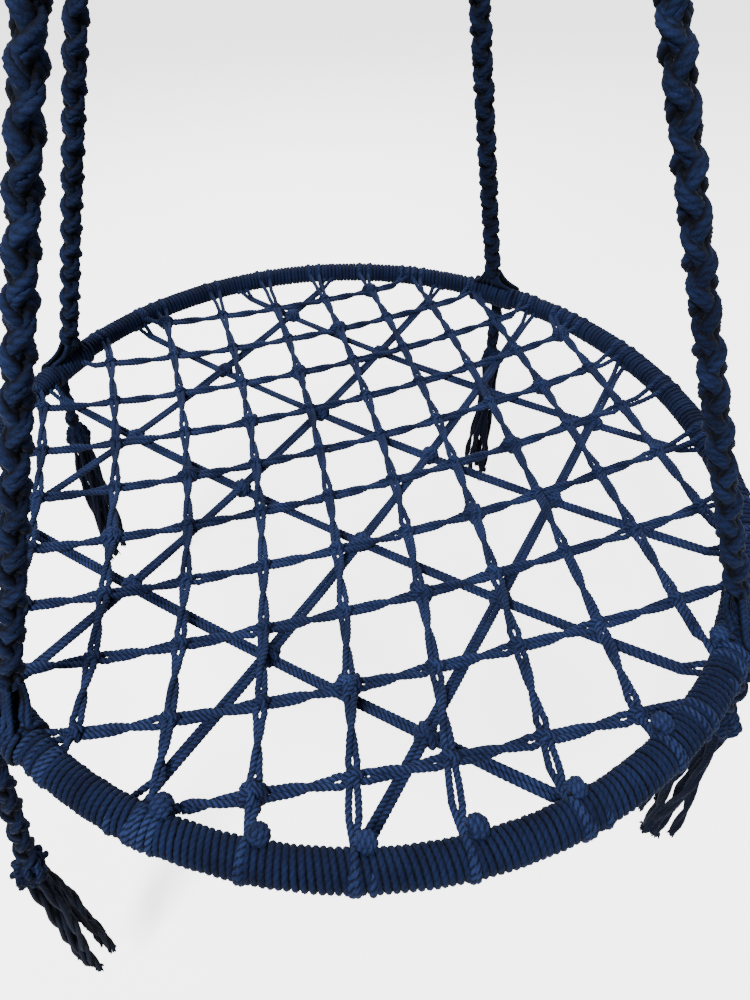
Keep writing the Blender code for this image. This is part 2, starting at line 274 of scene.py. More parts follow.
def cotton(name, dark, light, painted_shade_strength):
    """Dyed cotton: uneven dye, matt, with a fine fibre surface and a soft sheen. The painted shade
    strength says how strongly the painted shade in its grooves darkens it."""
    material, nodes, links, shader = new_material(name)
    dye = object_noise(nodes, links, DYE_SCALE, 3.0)
    fibre = object_noise(nodes, links, FIBRE_SCALE, 5.0)
    mix = nodes.new("ShaderNodeMath")
    mix.operation = "MULTIPLY_ADD"
    mix.inputs[1].default_value = DYE_SHARE
    rest = nodes.new("ShaderNodeMath")
    rest.operation = "MULTIPLY"
    rest.inputs[1].default_value = 1.0 - DYE_SHARE
    links.new(fibre.outputs["Fac"], rest.inputs[0])
    links.new(dye.outputs["Fac"], mix.inputs[0])
    links.new(rest.outputs[0], mix.inputs[2])
    ramp = nodes.new("ShaderNodeValToRGB")
    ramp.color_ramp.elements[0].position = 0.36
    ramp.color_ramp.elements[0].color = (*dark, 1.0)
    ramp.color_ramp.elements[1].position = 0.64
    ramp.color_ramp.elements[1].color = (*light, 1.0)
    links.new(mix.outputs[0], ramp.inputs["Fac"])
    # The "groove" attribute carries painted shade: it mixes the base colour toward a near-black copy
    # of the dark dye.
    groove = nodes.new("ShaderNodeAttribute")
    groove.attribute_name = "groove"
    shade = nodes.new("ShaderNodeMix")
    shade.data_type = "RGBA"
    depth = nodes.new("ShaderNodeMath")
    depth.operation = "MULTIPLY"
    depth.use_clamp = True
    depth.inputs[1].default_value = painted_shade_strength
    links.new(groove.outputs["Fac"], depth.inputs[0])
    links.new(depth.outputs[0], shade.inputs["Factor"])
    links.new(ramp.outputs["Color"], shade.inputs["A"])
    shade.inputs["B"].default_value = (*(GROOVE_PAINTED_SHADE * part for part in dark), 1.0)
    links.new(shade.outputs["Result"], shader.inputs["Base Color"])
    bump = nodes.new("ShaderNodeBump")
    bump.inputs["Strength"].default_value = 0.6
    bump.inputs["Distance"].default_value = 0.00035
    links.new(fibre.outputs["Fac"], bump.inputs["Height"])
    links.new(bump.outputs["Normal"], shader.inputs["Normal"])
    shader.inputs["Roughness"].default_value = 0.85
    shader.inputs["Sheen Weight"].default_value = 0.006
    shader.inputs["Sheen Roughness"].default_value = 0.45
    shader.inputs["Sheen Tint"].default_value = (0.45, 0.58, 0.90, 1.0)
    shader.inputs["Specular IOR Level"].default_value = 0.016
    return material


def zinc_steel():
    """Galvanised wire: soft grey metal with faint mottling in its colour and gloss."""
    material, nodes, links, shader = new_material("zinc_steel")
    mottle = object_noise(nodes, links, MOTTLE_SCALE, 4.0)
    ramp = nodes.new("ShaderNodeValToRGB")
    ramp.color_ramp.elements[0].color = (0.055, 0.057, 0.061, 1.0)
    ramp.color_ramp.elements[1].color = (0.115, 0.119, 0.126, 1.0)
    links.new(mottle.outputs["Fac"], ramp.inputs["Fac"])
    links.new(ramp.outputs["Color"], shader.inputs["Base Color"])
    rough = nodes.new("ShaderNodeMapRange")
    rough.inputs["To Min"].default_value = 0.26
    rough.inputs["To Max"].default_value = 0.48
    links.new(mottle.outputs["Fac"], rough.inputs["Value"])
    links.new(rough.outputs["Result"], shader.inputs["Roughness"])
    bump = nodes.new("ShaderNodeBump")
    bump.inputs["Strength"].default_value = 0.15
    bump.inputs["Distance"].default_value = 0.0002
    links.new(mottle.outputs["Fac"], bump.inputs["Height"])
    links.new(bump.outputs["Normal"], shader.inputs["Normal"])
    shader.inputs["Metallic"].default_value = 1.0
    return material


# ---------------------------------------------------------------- camera, floor and light

CAMERA_OFFSET = Vector((-0.1178, -0.5571, 0.5472))
CAMERA_HEADING = 0.1599
CAMERA_PITCH = 0.6698
CAMERA_ROLL = -0.0517
CAMERA_LENS_MM = 25.58
CAMERA_SHIFT = (0.063, -0.115)
FLOOR_Z = -1.78
FLOOR_REACH = 40
# Each light's name, place, size and power.
LIGHTS = (("key", (-1.6, -1.8, 1.6), 1.0, 2200.0),
          ("fill", (2.2, -0.6, 0.6), 1.8, 160.0),
          ("back", (0.3, 2.3, 0.8), 1.2, 700.0))


def make_camera():
    data = bpy.data.cameras.new("camera")
    data.lens = CAMERA_LENS_MM
    data.sensor_width = 36.0
    data.shift_x, data.shift_y = CAMERA_SHIFT
    data.clip_start = 0.02
    camera = bpy.data.objects.new("camera", data)
    bpy.context.scene.collection.objects.link(camera)
    sin_h, cos_h = math.sin(CAMERA_HEADING), math.cos(CAMERA_HEADING)
    sin_p, cos_p = math.sin(CAMERA_PITCH), math.cos(CAMERA_PITCH)
    sin_r, cos_r = math.sin(CAMERA_ROLL), math.cos(CAMERA_ROLL)
    forward = Vector((sin_h * cos_p, cos_h * cos_p, -sin_p))
    level = Vector((cos_h, -sin_h, 0.0))
    upright = level.cross(forward)
    right = cos_r * level + sin_r * upright
    up = cos_r * upright - sin_r * level
    turn = Matrix((right, up, -forward)).transposed().to_4x4()
    camera.matrix_world = Matrix.Translation(Vector(HOOP_CENTRE) + CAMERA_OFFSET) @ turn
    bpy.context.scene.camera = camera


def make_floor():
    mesh = bpy.data.meshes.new("floor")
    corners = ((-1, -1), (1, -1), (1, 1), (-1, 1))
    mesh.from_pydata([(FLOOR_REACH * x, FLOOR_REACH * y, FLOOR_Z) for x, y in corners],
                     [], [(0, 1, 2, 3)])
    material, _, _, shader = new_material("pale_floor")
    shader.inputs["Base Color"].default_value = (0.16, 0.16, 0.16, 1.0)
    shader.inputs["Roughness"].default_value = 0.95
    shader.inputs["Emission Color"].default_value = (1.0, 1.0, 1.0, 1.0)
    shader.inputs["Emission Strength"].default_value = 2.3
    mesh.materials.append(material)
    floor = bpy.data.objects.new("floor", mesh)
    bpy.context.scene.collection.objects.link(floor)


def add_area_light(name, place, size, power):
    """A round lamp aimed at the hoop's middle."""
    data = bpy.data.lights.new(name, "AREA")
    data.shape = "DISK"
    data.size = size
    data.energy = power
    light = bpy.data.objects.new(name, data)
    light.location = place
    way = Vector(HOOP_CENTRE) - Vector(place)
    light.rotation_euler = way.to_track_quat("-Z", "Y").to_euler()
    bpy.context.scene.collection.objects.link(light)


def make_light():
    world = bpy.data.worlds.new("studio")
    world.use_nodes = True
    background = world.node_tree.nodes["Background"]
    background.inputs["Color"].default_value = (1.0, 1.0, 1.0, 1.0)
    background.inputs["Strength"].default_value = 1.6
    bpy.context.scene.world = world
    for name, place, size, power in LIGHTS:
        add_area_light(name, place, size, power)


# ---------------------------------------------------------------- net

def grid_place(row, column):
    """Where a row and a column cross, both counted from the middle, on the hand-bowed grid."""
    lean = COLUMN_LEAN * (1 - (column / MIDDLE) ** 2)
    x = COLUMN_START + COLUMN_SPACING * column + lean * row
    x = x + COLUMN_BOW * row ** 2 + COLUMN_DRIFT * column ** 2
    lean = ROW_LEAN * (1 - ((row - ROW_LEAN_CENTRE) / ROW_LEAN_REACH) ** 2)
    y = ROW_START + ROW_SPACING * row + lean * column
    y = y + ROW_BOW * column ** 2 + ROW_DRIFT * row ** 2
    return x, y


def net_points(x, y, layer):
    """Points of the sagging net over a place in plan, in one of its layers."""
    x, y = np.broadcast_arrays(np.asarray(x, float), np.asarray(y, float))
    depth = NET_SAG * (1 - (x ** 2 + y ** 2) / HOOP_RADIUS ** 2)
    return np.stack([x, y, LAYERS[layer] - depth], axis=-1) + HOOP_CENTRE


def diagonal_line(kind, step):
    """Slope and offset of a diagonal cord in plan."""
    slope = RISE_SLOPE + RISE_FAN * step if kind == "rise" else FALL_SLOPE + FALL_FAN * step
    return slope, DIAGONAL_START + DIAGONAL_SPACING * step


def tube_frame(angle):
    """A point on the hoop's centre line, with its outward and along-the-hoop vectors."""
    outward = np.array([math.cos(angle), math.sin(angle), 0.0])
    return HOOP_CENTRE + HOOP_RADIUS * outward, outward, np.array([-outward[1], outward[0], 0.0])


def round_hoop(angle, turn, reach):
    """A point round the hoop's tube: turn 0 is its inner side, a quarter turn its top."""
    centre, outward, _ = tube_frame(angle)
    return centre + reach * (-math.cos(turn) * outward + np.array([0.0, 0.0, math.sin(turn)]))


# How far the net's cords keep from the wrap before they hook round it.
NET_CLEAR = 0.0035


def inside_hoop(points):
    """Which points are inside the hoop and clear of its wrap."""
    flat = np.hypot(points[:, 0], points[:, 1])
    out = np.hypot(flat - HOOP_RADIUS, points[:, 2] - HOOP_CENTRE[2])
    return (flat < HOOP_RADIUS) & (out > WRAP_RADIUS + NET_CLEAR)


HOOK_REACH = WRAP_RADIUS - 0.0011
HOOK_START = 18.0
HOOK_TURN = 250.0
HOOK_STEPS = 9
HOOK_SPREADS = 0.6
HOOK_TUCK = 0.0022
RISE_RUN = 0.016
NEAR_TUBE = 0.020


def hoop_hook(last, shift, under):
    """Points that carry a cord from the net round the hoop and in under its wrap."""
    sign = -1 if under else 1
    angle = math.atan2(last[1], last[0])
    points = []
    for k in range(HOOK_STEPS + 1):
        share = k / HOOK_STEPS
        turn = math.radians(HOOK_START + HOOK_TURN * share)
        drift = shift * (1.0 + HOOK_SPREADS * share)
        tucked = max(0, k - HOOK_STEPS + 2)
        reach = HOOK_REACH - HOOK_TUCK * tucked
        points.append(round_hoop(angle + drift / HOOP_RADIUS, sign * turn, reach))
    return points


def cord_pair(middle, spread, turn, shift, under):
    """Two cords either side of a middle line, turning about each other, hooked on the hoop. The
    way the pair lies at its last point says to which side each cord's hooks shift."""
    side, up = cross_axes(middle, UP)
    offset = spread[:, None] * (np.cos(turn)[:, None] * side + np.sin(turn)[:, None] * up)
    surfaces = []
    for sign in (-1, 1):
        line = middle + sign * offset
        place = lengths_along(line)
        inner = line[(place > RISE_RUN) & (place < place[-1] - RISE_RUN)]
        hooks = []
        for tip in (line[0], line[-1]):
            _, _, along = tube_frame(math.atan2(tip[1], tip[0]))
            way = sign * float(np.sign(np.dot(offset[-1], along)) or 1)
            hooks.append(hoop_hook(tip, way * shift, under))
        start = smooth_path([*hooks[0][::-1], inner[0], inner[3]])
        finish = smooth_path([inner[-4], inner[-1], *hooks[1]])
        path = respace(np.vstack([start[:-3], inner, finish[3:]]), RING_STEP)
        surfaces.append(cord_surface(path, pair_toward(path)))
    return surfaces


def pair_toward(path):
    """A vector across the path everywhere: up over the net, out from the tube round the hoop."""
    flat = unit(np.column_stack([path[:, 0], path[:, 1], np.zeros(len(path))]))
    out = path - (HOOP_CENTRE + HOOP_RADIUS * flat)
    near = np.linalg.norm(out, axis=1) < NEAR_TUBE
    toward = np.tile(UP, (len(path), 1))
    toward[near] = out[near]
    return toward


# How far a pair's cords lie from its middle: pinched, in the eyes beside a crossing, at the hoop.
PINCH_SPREAD = 0.0024
EYE_SPREAD = 0.0036
END_SPREAD = 0.0036
# An eye's place and width in cells, and how much slack the loosest eye has.
EYE_PLACE = 0.15
EYE_WIDTH = 0.05
EYE_SLACK = 1.25
# The grid's cords are drawn past their last crossings by this many cells.
GRID_OVERRUN = 1.6
GRID_POINTS = 1400
GRID_THINNING = 3
# Rows and columns draw together where they cross, by a share of the layers' gap.
CROSSING_DRAW = 0.30
CROSSING_WIDTH = 0.11
ROW_SEED = 500
GRID_HOOK_SHIFT = 0.0036
DIAGONAL_HOOK_SHIFT = 0.0034
DIAGONAL_POINTS = 500
DIAGONAL_SPREAD = 0.00250
DIAGONAL_STRAY = 0.00015
DIAGONAL_ROLL = 0.35


def pair_shape(cells, seed):
    """Spread and turn of a pair, from the position counted in cells between crossings."""
    slack = np.random.default_rng(seed).uniform(0.0, EYE_SLACK, 2 * NET_CORDS + 4)
    inner = (cells > 0) & (cells < NET_CORDS - 1)
    share = np.where(inner, cells % 1.0, 0.0)
    near = np.minimum(share, 1 - share)
    half_cell = np.floor(2 * cells + 4).astype(int)
    eye = np.exp(-((near - EYE_PLACE) / EYE_WIDTH) ** 2) * slack[half_cell]
    spread = PINCH_SPREAD + (EYE_SPREAD - PINCH_SPREAD) * eye
    outside = np.maximum(-cells, cells - (NET_CORDS - 1))
    spread = spread + (END_SPREAD - PINCH_SPREAD) * np.clip(outside * 4, 0, 1) * (outside > 0)
    smooth = share ** 2 * (3 - 2 * share)
    smooth = smooth ** 2 * (3 - 2 * smooth)
    turn = math.pi * (np.floor(np.clip(cells, 0, NET_CORDS - 1)) + smooth)
    return spread, turn


def grid_cord(kind, step):
    """One row or column: its pair of cords."""
    t = np.linspace(-MIDDLE - GRID_OVERRUN, MIDDLE + GRID_OVERRUN, GRID_POINTS)
    x, y = grid_place(step, t) if kind == "row" else grid_place(t, step)
    line = net_points(x, y, kind)
    keep = inside_hoop(line)
    line = line[keep]
    cells = t[keep] + MIDDLE
    near = np.abs(cells - np.round(cells))
    draw = (CROSSING_DRAW * NET_LAYER) * np.exp(-(near / CROSSING_WIDTH) ** 2)
    line[:, 2] += draw if kind == "row" else -draw
    seed = int(10 * (step + MIDDLE)) + (ROW_SEED if kind == "row" else 0)
    spread, turn = pair_shape(cells, seed)
    thin = slice(None, None, GRID_THINNING)
    return cord_pair(line[thin], spread[thin], turn[thin], GRID_HOOK_SHIFT, under=False)


def diagonal_cord(kind, step):
    """One diagonal: two cords side by side, straight, under the grid."""
    slope, offset = diagonal_line(kind, step)
    centre = -slope * offset / (1 + slope ** 2)
    x = centre + np.linspace(-HOOP_RADIUS, HOOP_RADIUS, DIAGONAL_POINTS)
    line = net_points(x, slope * x + offset, kind)
    line = line[inside_hoop(line)]
    along = lengths_along(line)
    spread = DIAGONAL_SPREAD + wobble(along * 22, int(10 * step) + 50, DIAGONAL_STRAY)
    turn = wobble(along * 9, int(10 * step) + 90, DIAGONAL_ROLL)
    return cord_pair(line, spread, turn, DIAGONAL_HOOK_SHIFT, under=True)


TURN_STEP = 0.0024
TURN_OVERLAP = 0.15
TURN_SLIDE = 0.0012
TURN_LAY = 0.012
# Width and height of the turns that tie a crossing: round the column pair, round the row pair.
FIRST_TURN = (0.0062, 0.0056)
SECOND_TURN = (0.0056, 0.0050)
KNOT_JITTER = 0.0013
CORE_FILL = 0.95
# Painted shade on the knots' core filling, as a groove value.
CORE_SHADE = 0.6


def loop_surface(centre, axis, wide, tall, toward, radius=CORD_RADIUS):
    """One closed turn of cord round an axis, its ends tucked together."""
    axis = unit(np.asarray(axis, float))
    across = unit(np.cross(axis, toward))
    high = np.cross(across, axis)
    steps = max(12, round(math.tau * max(wide, tall) / TURN_STEP))
    a = np.linspace(-TURN_OVERLAP, math.tau + TURN_OVERLAP, steps + 1)
    slide = TURN_SLIDE * np.sin(a / 2) ** 2
    path = (centre + (wide * np.cos(a))[:, None] * across + (tall * np.sin(a))[:, None] * high
            + slide[:, None] * axis)
    return cord_surface(path, axis, radius=radius, lay=TURN_LAY)


def small_knot(centre, row_way, column_way):
    """The pairs' crossing: a turn round each pair."""
    lean = rng.uniform(-0.35, 0.35)
    first = unit(column_way + lean * row_way)
    second = unit(row_way + rng.choice((-0.6, 0.6)) * column_way)
    return [loop_surface(centre, first, *FIRST_TURN, UP),
            loop_surface(centre, second, *SECOND_TURN, UP)]


def knot_ball(centre, size, turns, flat=0.8, radius=CORD_RADIUS):
    """A bulky knot: several turns of cord lying across each other."""
    surfaces = []
    reach = size / 2 - radius
    base = rng.uniform(0, math.pi)
    for k in range(turns):
        heading = base + math.pi * k / turns + rng.uniform(-0.2, 0.2)
        tilt = rng.uniform(-0.5, 0.5)
        axis = np.array([math.cos(heading), math.sin(heading), tilt])
        shift = np.array([rng.uniform(-1, 1), rng.uniform(-1, 1), rng.uniform(-0.6, 0.6)])
        wide = reach * rng.uniform(0.86, 1.0)
        tall = reach * flat * rng.uniform(0.9, 1.05)
        surfaces.append(loop_surface(centre + shift * KNOT_JITTER, axis, wide, tall, UP, radius))
    return [*surfaces, knot_core(centre, reach * CORE_FILL, flat)]


def knot_core(centre, reach, flat):
    """A rounded filling so that no light shows through a knot."""
    rows = 7
    sides = 10
    verts = []
    for k in range(rows):
        a = math.pi * (k + 0.5) / rows
        for j in range(sides):
            b = math.tau * j / sides
            verts.append(centre + reach * np.array([math.sin(a) * math.cos(b),
                                                    math.sin(a) * math.sin(b),
                                                    -flat * math.cos(a)]))
    return np.array(verts), ring_faces(rows, sides), np.full(rows * sides, CORE_SHADE)


KNOB_TURNS = 4
KNOB_POINTS_PER_TURN = 26
KNOB_POLAR_START = 22.0
KNOB_POLAR_SPAN = 136.0
KNOB_LAY = 0.011
KNOB_PACKED = 0.7
KNOB_CORE_FILL = 1.20


def wound_knob(centre, axis, size):
    """A round stopper knot: cord wound into a ball."""
    axis = unit(axis)
    across = unit(np.cross(axis, np.array([0.12, 0.21, 1.0])))
    high = np.cross(axis, across)
    share = np.linspace(0, 1, KNOB_TURNS * KNOB_POINTS_PER_TURN)[:, None]
    polar = np.radians(KNOB_POLAR_START + KNOB_POLAR_SPAN * share)
    spin = math.tau * KNOB_TURNS * share + rng.uniform(0, math.tau)
    reach = size / 2 - CORD_RADIUS
    way = (np.sin(polar) * (np.cos(spin) * across + np.sin(spin) * high) + np.cos(polar) * axis)
    return [cord_surface(centre + reach * way, way, lay=KNOB_LAY, packed=KNOB_PACKED),
            knot_core(centre, reach * KNOB_CORE_FILL, 1.0)]


# Crossings tied with a bulky knot, as (row, column) counted from the back and the left.
BULKY = {(2, 6), (3, 5), (4, 4), (5, 3), (6, 2), (7, 1), (1, 7),
         (4, 10), (5, 9), (6, 8), (7, 7), (8, 6), (9, 5), (10, 4), (1, 3)}
BULKY_SIZE = 0.0260
BULKY_DROP = np.array([0.0, 0.0, 0.001])
DIAGONAL_KNOT_SIZE = 0.0245
DIAGONAL_KNOT_FLAT = 0.75
KNOT_TURNS = 5
# Crossings nearer to the hoop than this have no knot.
GRID_KNOT_CLEAR = 0.024
DIAGONAL_KNOT_CLEAR = 0.026
KNOB_COLUMNS = range(2, 9)
# How far in from its first crossing a column is searched for its end, in cells.
KNOB_SEARCH = 2.5
KNOB_SEARCH_POINTS = 600
KNOB_TURN = math.radians(40.0)
KNOB_REACH = WRAP_RADIUS + 0.0034


def make_knobs(cotton_net):
    """The stopper knots that end the middle columns, on the hoop's near inner side."""
    surfaces = []
    for k in KNOB_COLUMNS:
        t = np.linspace(-MIDDLE - GRID_OVERRUN, -MIDDLE + KNOB_SEARCH, KNOB_SEARCH_POINTS)
        line = net_points(*grid_place(t, k - MIDDLE), "column")
        end = line[inside_hoop(line)][0]
        angle = math.atan2(end[1], end[0])
        centre = round_hoop(angle + rng.uniform(0.020, 0.030), KNOB_TURN, KNOB_REACH)
        _, _, along = tube_frame(angle)
        lean = np.array([0.0, rng.uniform(-0.5, 0.5), rng.uniform(-0.6, 0.3)])
        surfaces += wound_knob(centre, along + lean, rng.uniform(0.0150, 0.0190))
    add_piece("front_knobs", surfaces, cotton_net)


def make_net(cotton_net):
    for k in range(NET_CORDS):
        add_piece(f"row_pair_{k + 1:02d}", grid_cord("row", MIDDLE - k), cotton_net,
                  replaced=[f"row_cord_{k + 1:02d}"])
        add_piece(f"column_pair_{k + 1:02d}", grid_cord("column", k - MIDDLE), cotton_net,
                  replaced=[f"column_cord_{k + 1:02d}"])
    for k, step in enumerate(DIAGONAL_STEPS):
        for kind in ("rise", "fall"):
            add_piece(f"diagonal_pair_{kind}_{k + 1}", diagonal_cord(kind, step), cotton_net,
                      replaced=[f"diagonal_{kind}_{k + 1}"])
    for k in range(NET_CORDS):
        surfaces = []
        row = MIDDLE - k
        for j in range(NET_CORDS):
            column = j - MIDDLE
            x, y = grid_place(row, column)
            if math.hypot(x, y) > HOOP_RADIUS - GRID_KNOT_CLEAR:
                continue
            centre = (net_points(x, y, "row") + net_points(x, y, "column")) / 2
            ahead = net_points(*grid_place(row, column + 0.1), "row") - net_points(x, y, "row")
            back = net_points(*grid_place(row + 0.1, column), "row") - net_points(x, y, "row")
            surfaces += small_knot(centre, unit(ahead), unit(back))
            if (k + 1, j + 1) in BULKY:
                surfaces += knot_ball(centre - BULKY_DROP, BULKY_SIZE, KNOT_TURNS)
        add_piece(f"net_knots_{k + 1:02d}", surfaces, cotton_net)
    surfaces = []
    for rise in DIAGONAL_STEPS:
        for fall in DIAGONAL_STEPS:
            rise_slope, rise_start = diagonal_line("rise", rise)
            fall_slope, fall_start = diagonal_line("fall", fall)
            x = (fall_start - rise_start) / (rise_slope - fall_slope)
            y = rise_slope * x + rise_start
            if math.hypot(x, y) > HOOP_RADIUS - DIAGONAL_KNOT_CLEAR:
                continue
            centre = (net_points(x, y, "rise") + net_points(x, y, "fall")) / 2
            surfaces += knot_ball(centre, DIAGONAL_KNOT_SIZE, KNOT_TURNS, DIAGONAL_KNOT_FLAT)
    add_piece("diagonal_knots", surfaces, cotton_net)


# ---------------------------------------------------------------- hoop wrap and hitches

WRAP_LAY = 0.0115
WRAP_GROOVE = 0.88
# How far a turn strays along the hoop: slowly, from turn to turn, and outward from turn to turn.
WRAP_SLANT = 0.0026
WRAP_SLANT_RATE = 0.07
WRAP_STRAY = 0.0005
WRAP_LIFT = 0.00028
# Degrees along the hoop that the turns and the layer under them keep from their stretch's ends.
WRAP_END_CLEAR = 0.1
UNDER_END_CLEAR = 0.3
UNDER_STEP = 1.5
UNDER_SIDES = 14


def wrap_path(start_deg, end_deg, reach, seed):
    """A helix round the hoop's tube, uneven the way hand wrapping is."""
    span = math.radians(end_deg - start_deg)
    turns = round(span * HOOP_RADIUS / WRAP_PITCH)
    count = round(turns * math.tau * reach / RING_STEP)
    turn = np.linspace(0, math.tau * turns, count)
    share = turn / turn[-1]
    whole = np.floor(turn / math.tau)
    jump = np.random.default_rng(seed).uniform(-1, 1, turns + 2)
    mix = (turn / math.tau) - whole
    ease = mix * mix * (3 - 2 * mix)
    rough = jump[whole.astype(int)] * (1 - ease) + jump[whole.astype(int) + 1] * ease
    slant = wobble(share * turns * WRAP_SLANT_RATE, seed + 3, WRAP_SLANT)
    angle = math.radians(start_deg) + span * share
    angle = angle + (slant * np.cos(turn) + WRAP_STRAY * rough) / HOOP_RADIUS
    reach = reach + WRAP_LIFT * rough
    outward = np.stack([np.cos(angle), np.sin(angle), np.zeros(count)], axis=1)
    across = -np.cos(turn)[:, None] * outward + np.sin(turn)[:, None] * UP
    return HOOP_CENTRE + HOOP_RADIUS * outward + reach[:, None] * across, across


def make_wrap(cotton_wrap):
    for k, (node, (first, second)) in enumerate(WRAP_SPANS.items()):
        start, end = CORNERS[first], CORNERS[second]
        end += 360 if end < start else 0
        path, across = wrap_path(start + WRAP_END_CLEAR, end - WRAP_END_CLEAR,
                                 WRAP_CORD_CENTRE, 20 + k)
        turns = cord_surface(path, across, radius=WRAP_CORD_RADIUS, lay=WRAP_LAY,
                             groove=WRAP_GROOVE, packed=1.0)
        under = under_layer(start + UNDER_END_CLEAR, end - UNDER_END_CLEAR)
        add_piece(f"{node}_turns", [turns, under], cotton_wrap, replaced=[node])


def under_layer(start_deg, end_deg):
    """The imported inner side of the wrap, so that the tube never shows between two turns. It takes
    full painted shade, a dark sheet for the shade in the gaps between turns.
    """
    angles = np.radians(np.arange(start_deg, end_deg, UNDER_STEP))
    spin = math.tau * np.arange(UNDER_SIDES) / UNDER_SIDES
    flat = HOOP_RADIUS + UNDER_RADIUS * np.cos(spin)
    verts = np.stack([np.cos(angles)[:, None] * flat, np.sin(angles)[:, None] * flat,
                      np.tile(-UNDER_RADIUS * np.sin(spin), (len(angles), 1))], axis=-1)
    verts = verts.reshape(-1, 3) + HOOP_CENTRE
    return verts, ring_faces(len(angles), UNDER_SIDES), np.ones(len(verts))


FORK_HEIGHT = 0.047
FORK_CORDS = 12
FORK_PITCH = 0.0053
# The fork's cords at its top and part-way down: their fan along the hoop, and how far out or in.
FORK_TOP_FAN = 0.22
FORK_TOP_HALF = 0.0045
FORK_MIDDLE = 0.58
FORK_MIDDLE_FAN = 0.55
FORK_MIDDLE_HALF = 0.0065
HITCH_REACH = WRAP_RADIUS + 0.0020
HITCH_RAISE = 0.0002
HITCH_STRAY = 0.0006
HITCH_CORD_RADIUS = 0.0030
HITCH_GROOVE = 0.86
HITCH_PACKED = 0.8
HITCH_STEPS = 12
# A hitch cord lands on the hoop at the first angle and goes round it by the second, in degrees.
HITCH_LANDING = 112.0
HITCH_WRAP = 330.0
NECK_CORDS = 3
NECK_PITCH = 0.0046
NECK_CORD_RADIUS = 0.0034
NECK_OVERLAP = 0.002
NECK_PACKED = 0.7

# How far each rope meets its hitch off the hitch's middle, along the hoop.
FOOT_SHIFTS = {"back_right": -0.012, "back_left": 0.012, "front_left": 0.000, "front_right": 0.000}


def rope_line(corner):
    """The rope's foot on the hoop's centre line, its angle, and its unit vector upward."""
    angle = math.radians(CORNERS[corner]) + FOOT_SHIFTS[corner] / HOOP_RADIUS
    foot, _, _ = tube_frame(angle)
    return foot, angle, unit(ROPE_AIM - foot)


def hitch_surfaces(corner):
    """The rope's cords fan out, and each takes a turn round the hoop."""
    foot, angle, up = rope_line(corner)
    _, outward, along = tube_frame(angle)
    surfaces = []
    for k in range(FORK_CORDS):
        shift = (k - (FORK_CORDS - 1) / 2) * FORK_PITCH
        sign = 1 if k % 2 else -1
        high = foot + up * FORK_HEIGHT
        low = foot + up * (FORK_MIDDLE * FORK_HEIGHT)
        top = high + along * shift * FORK_TOP_FAN - outward * sign * FORK_TOP_HALF
        mid = low + along * shift * FORK_MIDDLE_FAN - outward * sign * FORK_MIDDLE_HALF
        points = [top, mid]
        reach = HITCH_REACH + HITCH_RAISE * (k % 3)
        for j in range(HITCH_STEPS + 1):
            turn = math.radians(HITCH_LANDING + HITCH_WRAP * j / HITCH_STEPS)
            turn = turn if sign < 0 else math.pi - turn
            drift = shift + HITCH_STRAY * math.sin(j + k)
            points.append(round_hoop(angle + drift / HOOP_RADIUS, turn, reach))
        path = smooth_path(points)
        toward = path - foot - along * ((path - foot) @ along)[:, None]
        toward[:4] = outward
        surfaces.append(cord_surface(path, toward, radius=HITCH_CORD_RADIUS, groove=HITCH_GROOVE,
                                     packed=HITCH_PACKED))
    return surfaces + neck_surfaces(corner)


def neck_surfaces(corner):
    """Three short cords from under the hitch to the point where the tail hangs and turns."""
    place = math.radians(TAIL_PLACES[corner])
    beside = tube_frame(place)[2]
    reaches = np.linspace(WRAP_RADIUS - NECK_OVERLAP, TAIL_PIVOT_REACH + NECK_OVERLAP, 8)
    surfaces = []
    for k in range(NECK_CORDS):
        shift = (k - (NECK_CORDS - 1) / 2) * NECK_PITCH * beside
        path = smooth_path([round_hoop(place, math.pi + TAIL_PIVOT_SLOPE, reach) + shift
                            for reach in reaches])
        surfaces.append(cord_surface(path, beside, radius=NECK_CORD_RADIUS, packed=NECK_PACKED))
    return surfaces


# ---------------------------------------------------------------- braids

# A braid's proportions, as shares of its radius.
BRAID_CORD = 0.36
BRAID_BUNDLE = 0.53
BRAID_MIDDLE = 0.32
BRAID_WEAVE = 0.16
# Each bundle's way round and where it starts.
BRAID_BUNDLES = ((1, 0.0), (1, math.pi), (-1, math.pi / 2), (-1, 1.5 * math.pi))
BRAID_LAY = 0.0185
BRAID_GROOVE = 0.92
BRAID_PACKED = 0.70
BRAID_START = 0.1
BRAID_TOWARD = np.array([0.31, 0.95, 0.02])
BUNDLE_CORDS = 3
BUNDLE_TURN = 0.190
BUNDLE_WIDTH = 0.93
BUNDLE_BULGE = 0.24
BUNDLE_FLAT = 0.9


